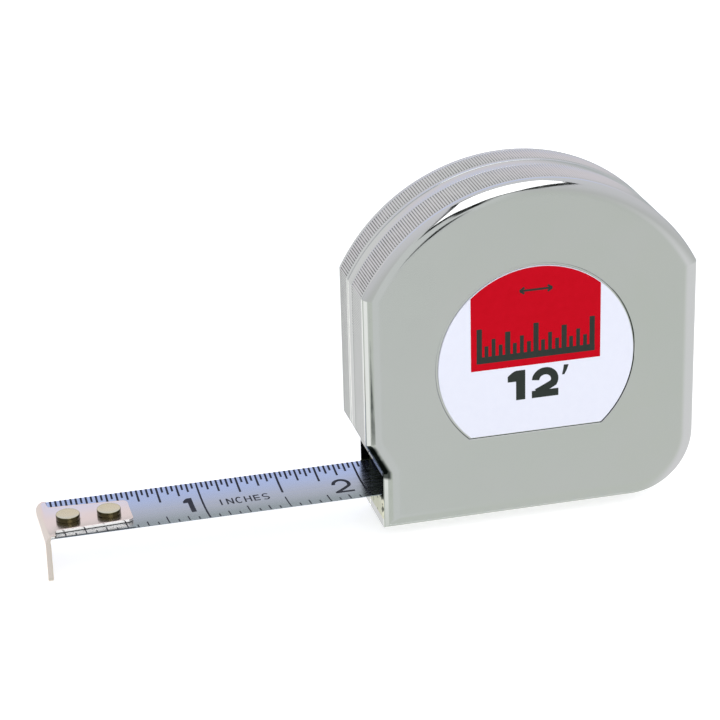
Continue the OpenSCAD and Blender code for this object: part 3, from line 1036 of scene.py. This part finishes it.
def word_inches(out, x, y, pitch, height, stroke):
    """The unit word, in plain narrow capitals."""
    w = pitch * 0.62
    top, mid = y + height, y + height / 2

    def stroke_at(k, points):
        out.stroke([(x + k * pitch + u * w, v) for u, v in points], stroke)

    stroke_at(0, [(0.5, y), (0.5, top)])
    stroke_at(1, [(0, y), (0, top)])
    stroke_at(1, [(0, top), (1, y)])
    stroke_at(1, [(1, y), (1, top)])
    bowl = arc_points(x + 2 * pitch + w / 2, mid, w / 2, height / 2, 48, 312, 18)
    out.stroke(bowl, stroke, dense=False)
    stroke_at(3, [(0, y), (0, top)])
    stroke_at(3, [(1, y), (1, top)])
    stroke_at(3, [(0, mid), (1, mid)])
    stroke_at(4, [(0.05, y), (0.05, top)])
    for v in (y + stroke / 2, mid, top - stroke / 2):
        stroke_at(4, [(0.05, v), (1, v)])
    cx, r = x + 5 * pitch + w / 2, height / 4
    upper = arc_points(cx, y + 3 * r, w / 2, r, 35, 270, 12)
    lower = arc_points(cx, y + r, w / 2, r, 90, -145, 12)
    out.stroke(upper + lower[1:], stroke, dense=False)


def plate_edge(x):
    """Half the width of the hook's plate at x."""
    root_x = ZERO_X + BEND_R + 0.5
    share = (PLATE_END - x) / (PLATE_END - root_x)
    return (TONGUE_W + (ROOT_W - TONGUE_W) * share) / 2


def blade_pieces():
    strip = blade_mesh()
    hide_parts("blade_tip", "blade_run")
    ink_and_shadow = Print(lambda u, v, height: cup_point(u, v, height), 0.012)
    blade_print(ink_and_shadow, 0, BEND_END + 4)
    glyph_one(ink_and_shadow, ZERO_X + 22.6, -2.65, 4.9, 0.78)
    glyph_two(ink_and_shadow, ZERO_X + 46.0, -2.95, 3.05, 4.9, 0.58)
    word_inches(ink_and_shadow, ZERO_X + 27.7, -1.5, 1.42, 2.0, 0.24)
    # a painted shadow: a thin dark line along the blade's front edge beside the hook's plate, drawn in
    # the blade's ink
    root, far, edge = ZERO_X + BEND_R + 0.7, PLATE_END - 0.2, 0.2 - HALF_ARC
    ink_and_shadow.stroke([(root, edge), (far, edge)], 0.34)
    marks = ink_and_shadow.make("blade_marks", [BLADE_INK_AND_SHADOW])
    start, end = (BEND_START * MM, 0, 0), (BEND_END * MM, 0, 0)
    for piece in (strip, marks):
        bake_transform(piece)
        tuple(start)
        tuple(end)


# ======================= hook and rivets =======================

def hook_stations():
    """Outer skin of the hook from the plate's far end round the bend to the leg's foot.

    Each station is a place in X and Z, the skin's direction, half its width, how far it
    follows the blade's cup, and its thickness.
    """
    plate_z = PLATE_TOP
    corner_x, corner_z = ZERO_X + BEND_R, plate_z - BEND_R
    root_x = corner_x + 0.5
    round_r = 0.8
    stations = []

    for k in range(7):
        a = math.radians(15 * k)
        x = PLATE_END - round_r * (1 - math.cos(a))
        stations.append((x, plate_z, 90, plate_edge(x) - round_r * (1 - math.sin(a)), 1.0, SHEET_T))
    for x in np.linspace(PLATE_END - 1.6, root_x + 0.35, 10):
        stations.append((x, plate_z, 90, plate_edge(x), 1.0, SHEET_T))
    leg_half = LEG_W / 2
    for k in range(5):
        a = math.radians(22.5 * k)
        reach = plate_edge(root_x) + (leg_half - plate_edge(root_x)) * (1 - math.cos(a))
        x = root_x + 0.25 * (1 - math.sin(a))
        stations.append((x, plate_z, 90, reach, 1.0 - 0.05 * k, SHEET_T))
    for k in range(7):
        angle = 90 + 15 * k
        a = math.radians(angle)
        x, z = corner_x + BEND_R * math.cos(a), corner_z + BEND_R * math.sin(a)
        thick = SHEET_T + (LEG_T - SHEET_T) * k / 6
        stations.append((x, z, angle, leg_half, 0.8 * (1 - k / 6), thick))
    foot, foot_r = hook_low[2], 1.0
    for z in np.linspace(corner_z - 0.5, foot + foot_r + 0.3, 5):
        stations.append((ZERO_X, z, 180, leg_half, 0.0, LEG_T))
    for k in range(7):
        a = math.radians(15 * k)
        z = foot + foot_r * (1 - math.sin(a))
        stations.append((ZERO_X, z, 180, leg_half - foot_r * (1 - math.cos(a)), 0.0, LEG_T))
    return stations


def hook_mesh():
    across = np.linspace(-1, 1, 21)
    sections = []
    for x, z, angle, half, curve, thick in hook_stations():
        a = math.radians(angle)
        normal = np.array([math.cos(a), 0, math.sin(a)])
        outer, inner = [], []
        for s in across:
            y = s * half
            sag = curve * (CUP_R - math.sqrt(CUP_R ** 2 - y ** 2))
            base = np.array([x, y, z + sag])
            outer.append(base)
            inner.append(base - normal * thick)
        sections.append(np.array(outer + inner[::-1]))
    verts, faces = tube_of_sections(sections)
    obj = new_object("hook_plate", verts, faces, [NICKEL], 40.0)
    outward(obj)
    return obj


def hook_slots():
    """Cutters for the slots that the rivets slide in."""
    cutters = []
    for name in ("rivet_outer", "rivet_inner"):
        low, high = box_mm(name)
        x, r = (low[0] + high[0]) / 2, 1.0
        angles = np.radians(np.linspace(-90, 90, 13))
        right = [(x + LEG_T + r * math.cos(a), r * math.sin(a)) for a in angles]
        left = [(x - r * math.cos(a), -r * math.sin(a)) for a in angles]
        ring = np.array(right + left)
        rings = [np.insert(ring, 2, z, axis=1) for z in (3.9, 7.5)]
        verts, faces = rings_to_solid(rings, (x, 0, 3.9), (x, 0, 7.5))
        cutters.append(new_object("slot", verts, faces, []))
    return cutters


def rivet_mesh(name):
    low, high = box_mm(name)
    x = (low[0] + high[0]) / 2
    r, top = (high[0] - low[0]) / 2, high[2]
    seat = PLATE_TOP + 0.02
    tail = [(0.5, 0.0), (1.2, 0.0), (1.3, 0.08), (1.3, 0.3), (0.95, 0.31)]
    under = [(0.95, seat), (r - 0.12, seat), (r - 0.02, seat + 0.05), (r, seat + 0.14), (r, top - 0.2)]
    head = [(r - 0.03, top - 0.11), (r - 0.11, top - 0.05), (r - 0.24, top - 0.025),
            (r * 0.5, top - 0.006), (0.2, top)]
    profile = [(radius, low[2] + up) for radius, up in tail] + under + head
    obj = lathe(name + "_turned", 2, (x, 0.0), profile, [RIVET])
    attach(obj, "blade")
    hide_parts(name)


def hook_pieces():
    hook = hook_mesh()
    cut(hook, hook_slots(), 40.0)
    bevel(hook, 0.07, 3, 50.0)
    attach(hook, "hook")
    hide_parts("end_hook")
    for name in ("rivet_outer", "rivet_inner"):
        rivet_mesh(name)


# ======================= carried-over CAD nodes =======================


def paint_nodes():
    """A node material for every CAD node that stays."""
    paints = {
        "centre_post": POST, "centre_screw": SCREW,
        "wave_washer": SPRING, "thrust_washer": NATURAL, "bobbin": BLACK,
        "bobbin_bush": BRASS, "front_flange": FIBRE, "rear_flange": FIBRE,
        "flange_rivets": BRASS, "blade_anchor": BRASS, "blade_coil": COIL,
        "burr_outer": BURR, "burr_inner": BURR,
    }
    paints.update({name: SCREW for name in screw_nodes()})
    for name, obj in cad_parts.items():
        if name in paints:
            obj.data.materials.clear()
            obj.data.materials.append(paints[name])


# ======================= room =======================


def world_light():
    """A soft studio: pale grey all round, a large white panel overhead with dark edges."""
    world = bpy.data.worlds.new("studio")
    bpy.context.scene.world = world
    world.use_nodes = True
    tree = world.node_tree
    where = node(tree, "ShaderNodeTexCoord")
    split = node(tree, "ShaderNodeSeparateXYZ")
    tree.links.new(where.outputs["Generated"], split.inputs["Vector"])
    x, y, z = axes = [split.outputs[key] for key in "XYZ"]
    colour = sky(tree, z)

    def beyond(value, limit, soft):
        return spread(tree, value, limit - soft, limit + soft, 0, 1)

    def below(value, limit, soft):
        return spread(tree, value, limit - soft, limit + soft, 1, 0)

    def both(*masks):
        return calc(tree, "MULTIPLY", *masks)

    def window(value, low, high, soft):
        return both(beyond(value, low, soft), below(value, high, soft))

    def over(base, tint, *spans, extra=()):
        """Paints a box of directions: (low, high, softness) in x, y and z, or None for all."""
        masks = [window(axis, *span) for axis, span in zip(axes, spans) if span]
        return mixed(tree, both(*masks, *extra), base, tint)

    behind = (0.25, 1.5, 0.15)
    patches = (
        # behind the object: a grey horizon, a pinkish grey above it and blue higher up
        ((0.47, 0.50, 0.51), None, behind, (-0.30, 1.5, 0.12)),
        ((0.75, 0.71, 0.76), None, behind, (0.25, 1.5, 0.14)),
        ((0.66, 0.72, 0.96), None, behind, (0.56, 1.5, 0.12)),
        # low down on the right, behind, twice on the left, and in front
        ((0.76, 0.76, 0.78), (0.5, 1.5, 0.14), None, (-1.5, -0.1, 0.15)),
        ((1.3, 1.3, 1.27), None, (0.42, 1.5, 0.06), (-1.5, -0.36, 0.04)),
        ((0.74, 0.74, 0.75), (-0.7, -0.18, 0.02), (0.7, 1.2, 0.05), (-0.55, -0.2, 0.03)),
        ((0.74, 0.74, 0.75), (-0.7, -0.24, 0.03), (0.62, 1.2, 0.05), (-0.27, 0.34, 0.05)),
        ((0.65, 0.67, 0.67), (-0.2, 0.245, 0.04), (-1.2, -0.7, 0.05), (-1.5, 0.3, 0.1)),
        # what the roof of the mouth and the rounded edge of the nose reflect
        ((0.03, 0.04, 0.035), (-1.1, -0.32, 0.04), (-0.62, 0.70, 0.05), (-1.5, -0.52, 0.03)),
        ((1.3, 1.3, 1.3), (-0.84, -0.55, 0.03), (0.36, 0.72, 0.03), (-0.44, 0.0, 0.05)),
        ((0.98, 0.99, 0.98), (-0.95, -0.56, 0.03), (-0.72, -0.12, 0.03), (-0.45, -0.3, 0.02)),
    )
    for tint, *spans in patches:
        colour = over(colour, tint, *spans)
    place = calc(tree, "ABSOLUTE", calc(tree, "ADD", y, 0.82))
    size = calc(tree, "MULTIPLY", calc(tree, "ADD", z, 0.393), -2.6)
    wedge = below(calc(tree, "SUBTRACT", place, size), 0.0, 0.01)
    wedge_box = (-0.62, -0.2, 0.02), None, (-0.4235, -0.35, 0.003)
    colour = over(colour, (0.05, 0.06, 0.06), *wedge_box, extra=[wedge])

    # the white panel above the photographer, bounded in turn (degrees round the X axis
    # from the back) and lean (sideways), with a dark frame
    turn = calc(tree, "MULTIPLY", calc(tree, "ARCTAN2", z, y), 180 / math.pi)
    turn = calc(tree, "ADD", turn, spread(tree, turn, -100.0, -90.0, 360.0, 0.0))
    flat = radius_from(tree, y, z, 0.0, 0.0)
    lean = calc(tree, "DIVIDE", x, calc(tree, "MAXIMUM", flat, 0.01))

    def slanted(lean_at, rate, at):
        """Lean measured from a line that leans by rate for each degree of turn."""
        line = calc(tree, "MULTIPLY", calc(tree, "SUBTRACT", turn, at), rate)
        return calc(tree, "SUBTRACT", lean, lean_at, line)

    def rise_past(start, rate, most):
        """Rises with the lean past a start, by rate, up to a most."""
        past = calc(tree, "MAXIMUM", calc(tree, "SUBTRACT", lean, start), 0.0)
        return calc(tree, "MINIMUM", calc(tree, "MULTIPLY", past, rate), most)

    from_top = calc(tree, "SUBTRACT", turn, rise_past(0.35, 100.0, 60.0))
    from_foot = calc(tree, "SUBTRACT", turn, rise_past(0.0, 50.0, 4.5))
    soft = 0.008
    panel = both(beyond(slanted(-0.10, 0.00275, 168.0), 0.0, soft),
                 below(slanted(0.295, -0.0092, 167.0), 0.0, soft),
                 beyond(from_top, 122.3, 1.0), below(from_foot, 168.5, 0.7), below(lean, 0.50, 0.01))
    frame_left = both(beyond(slanted(-0.135, 0.0038, 167.0), 0.0, soft), below(turn, 175.6, 0.7))
    frame_right = both(below(slanted(0.325, -0.0098, 174.0), 0.0, soft), below(lean, 0.68, 0.01))
    edge_dark = both(frame_left, frame_right, beyond(from_top, 120.3, 1.0))
    corner_dark = both(frame_left, beyond(turn, 115.0, 1.0), below(lean, -0.14, 0.02))
    foot_dark = both(window(turn, 168.0, 182.8, 0.7), below(lean, 0.18, 0.01),
                     beyond(slanted(0.01, 0.0102, 172.0), 0.0, soft))
    thin_line = both(window(turn, 187.8, 195.2, 0.8), window(lean, 0.122, 0.188, 0.007))
    for mask in (edge_dark, corner_dark, foot_dark, thin_line):
        colour = mixed(tree, mask, colour, (0.010, 0.013, 0.012))
    colour = mixed(tree, panel, colour, (2.0, 2.0, 2.05))
    background = next(n for n in tree.nodes if n.type == "BACKGROUND")
    tree.links.new(colour, background.inputs["Color"])
    background.inputs["Strength"].default_value = 1.0


def sky(tree, z):
    """Pale grey all round, slightly green low down and lavender high up."""
    ramp = node(tree, "ShaderNodeValToRGB")
    stops = ((0.0, (0.60, 0.63, 0.60)), (0.30, (0.60, 0.63, 0.59)), (0.36, (0.57, 0.60, 0.57)),
             (0.50, (0.56, 0.57, 0.57)), (0.65, (0.64, 0.64, 0.67)), (1.0, (0.70, 0.70, 0.75)))
    elements = ramp.color_ramp.elements
    while len(elements) < len(stops):
        elements.new(0.5)
    for element, (place, tint) in zip(elements, stops):
        element.position = place
        element.color = (*tint, 1)
    height = node(tree, "ShaderNodeMapRange")
    height.inputs["From Min"].default_value = -1
    tree.links.new(z, height.inputs["Value"])
    tree.links.new(height.outputs["Result"], ramp.inputs["Fac"])
    return ramp.outputs["Color"]


def lamp(name, place, aim, size, power, colour):
    """A soft lamp that lights surfaces but doesn't show in reflections."""
    data = bpy.data.lights.new(name, "AREA")
    data.shape = "DISK"
    data.size = size
    data.energy = power
    data.color = colour
    obj = bpy.data.objects.new(name, data)
    bpy.context.scene.collection.objects.link(obj)
    obj.location = place
    obj.rotation_euler = (Vector(aim) - Vector(place)).to_track_quat("-Z", "Y").to_euler()
    obj.visible_glossy = False
    return obj


def floor():
    made, tree = material("floor_paper")
    paint(tree, Base_Color=mixed(tree, noise(tree, 40.0), (0.93, 0.93, 0.93), (0.95, 0.95, 0.95)),
          Roughness=uneven(tree, 300.0, 0.85, 0.95), Specular_IOR_Level=0.0,
          Emission_Color=(1, 1, 1), Emission_Strength=0.52)
    half = 12000.0
    level = hook_low[2] - 0.05
    verts = [(-half, -half, level), (half, -half, level), (half, half, level), (-half, half, level)]
    obj = new_object("floor", verts, [(0, 1, 2, 3)], [made])
    obj.visible_glossy = False


def camera():
    """The photograph's viewpoint: azimuth, elevation, roll and distance to the target."""
    azimuth, elevation, roll = (math.radians(a) for a in (-13.59, 23.25, -1.587))
    distance, target = 395.1, Vector((-26.76, 0.0, 25.76))
    away = Vector((math.sin(azimuth) * math.cos(elevation),
                   -math.cos(azimuth) * math.cos(elevation), math.sin(elevation)))
    data = bpy.data.cameras.new("camera")
    data.sensor_width = 36.0
    data.lens = 128.01
    data.clip_start = 0.01
    obj = bpy.data.objects.new("camera", data)
    bpy.context.scene.collection.objects.link(obj)
    obj.location = (target + away * distance) * MM
    turn = (-away).to_track_quat("-Z", "Y").to_matrix().to_4x4()
    obj.rotation_euler = (turn @ Matrix.Rotation(roll, 4, "Z")).to_euler()
    bpy.context.scene.camera = obj


camera()
world_light()
floor()
lamp("key", (-0.35, -0.75, 0.75), (0, 0, 0.02), 0.7, 0.8, (1.0, 1.0, 1.0))
lamp("back", (0.1, 0.7, 0.8), (0, 0, 0.02), 0.7, 0.8, (0.98, 0.99, 1.0))
case_pieces()
throat_pieces()
label_pieces()
blade_pieces()
hook_pieces()
paint_nodes()
bpy.context.scene.view_settings.view_transform = "Standard"
